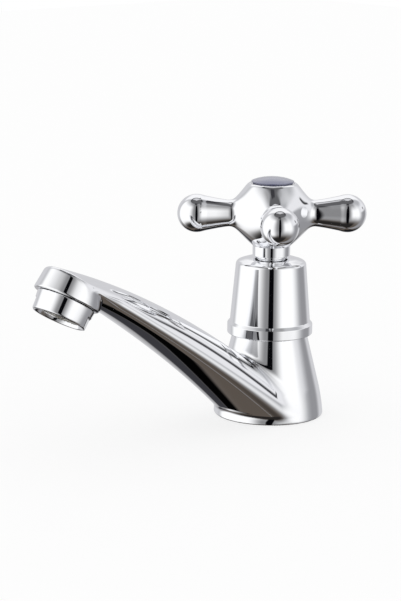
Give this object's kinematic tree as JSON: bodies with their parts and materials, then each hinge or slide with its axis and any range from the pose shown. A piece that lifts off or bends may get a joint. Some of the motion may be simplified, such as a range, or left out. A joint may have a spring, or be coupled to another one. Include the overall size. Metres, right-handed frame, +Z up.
{
  "type": "cross handle tap",
  "caption": "Chromed basin tap: a cross handle over a bell shroud turns a washer valve in a flared base, whose raked spout ends in a tilted aerator.",
  "frame": {"origin": "middle of the base's underside, at the mouth of the inlet thread, on the vertical axis of the valve and handle", "axes": "+Z up along the valve axis, -Y along the spout, so that the tap is symmetric about the plane X = 0 except for the turn of its handle"},
  "size_m": [0.0636, 0.1539, 0.0995],
  "materials": {
    "chrome": "polished",
    "brass": "machined",
    "steel": "bright zinc",
    "black_rubber": "matt",
    "red_fibre": "matt",
    "white_nylon": "matt",
    "grey_mesh": "satin",
    "blue_button": "gloss"
  },
  "bodies": {
    "tap_body": {"spout_body": "chrome", "base_seal": "black_rubber", "headwork_body": "brass", "headwork_seal": "red_fibre", "thrust_washer": "white_nylon", "shroud": "chrome", "shroud_o_ring": "black_rubber", "shroud_collar": "chrome", "aerator_housing": "chrome", "aerator_screen": "grey_mesh", "aerator_insert": "white_nylon", "aerator_gasket": "black_rubber"},
    "handle_body": {"handle": "chrome", "handle_insert": "white_nylon", "handle_screw": "steel", "index_button": "blue_button", "button_o_ring": "black_rubber", "spindle": "brass", "spindle_o_ring_lower": "black_rubber", "spindle_o_ring_upper": "black_rubber", "spindle_circlip": "steel"},
    "plunger_body": {"valve_plunger": "brass", "jumper_washer": "black_rubber", "washer_screw": "brass"}
  },
  "joints": [
    {"name": "handle_turn", "type": "hinge", "parent": "tap_body", "child": "handle_body", "pos_m": [0, 0, 0.0841], "axis": [0, 0, 1], "range_deg": [0, 540]},
    {"name": "plunger_lift", "type": "slide", "parent": "tap_body", "child": "plunger_body", "axis": [0, 0, 1], "range_m": [0, 0.0045]}
  ],
  "couplings": [
    {"joint": "plunger_lift", "follows": "handle_turn", "m_per_rad": 0.000477}
  ]
}
